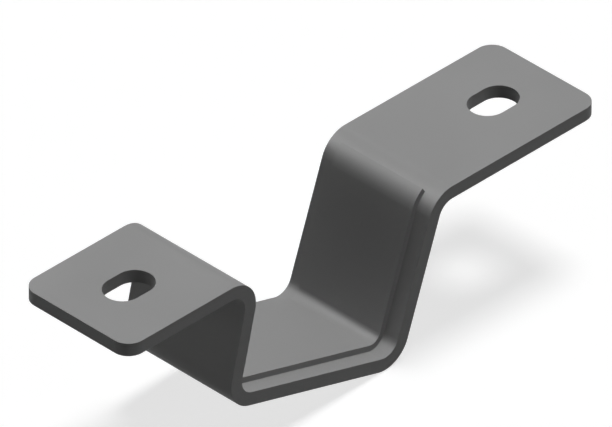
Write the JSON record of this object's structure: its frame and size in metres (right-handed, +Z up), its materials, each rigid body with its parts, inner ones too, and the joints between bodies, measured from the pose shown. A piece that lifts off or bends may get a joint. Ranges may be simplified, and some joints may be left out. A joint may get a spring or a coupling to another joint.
{
  "type": "canopy bracket",
  "caption": "Flat steel strap bent into a tilted saddle between slotted flanges at unequal heights, with a raised land in the saddle; it clamps a golf cart canopy's frame tube.",
  "frame": {"origin": "midway between the centres of the bolt slots, at the height of the upper flange's top face", "axes": "+X runs along the strap from the upper flange to the lower one, +Y runs across its width, and +Z points up along the bolts, away from the saddle"},
  "size_m": [0.1766, 0.04, 0.0554],
  "materials": {
    "powder_coat": "satin"
  },
  "bodies": {
    "root": {"canopy_bracket": "powder_coat"}
  },
  "joints": []
}
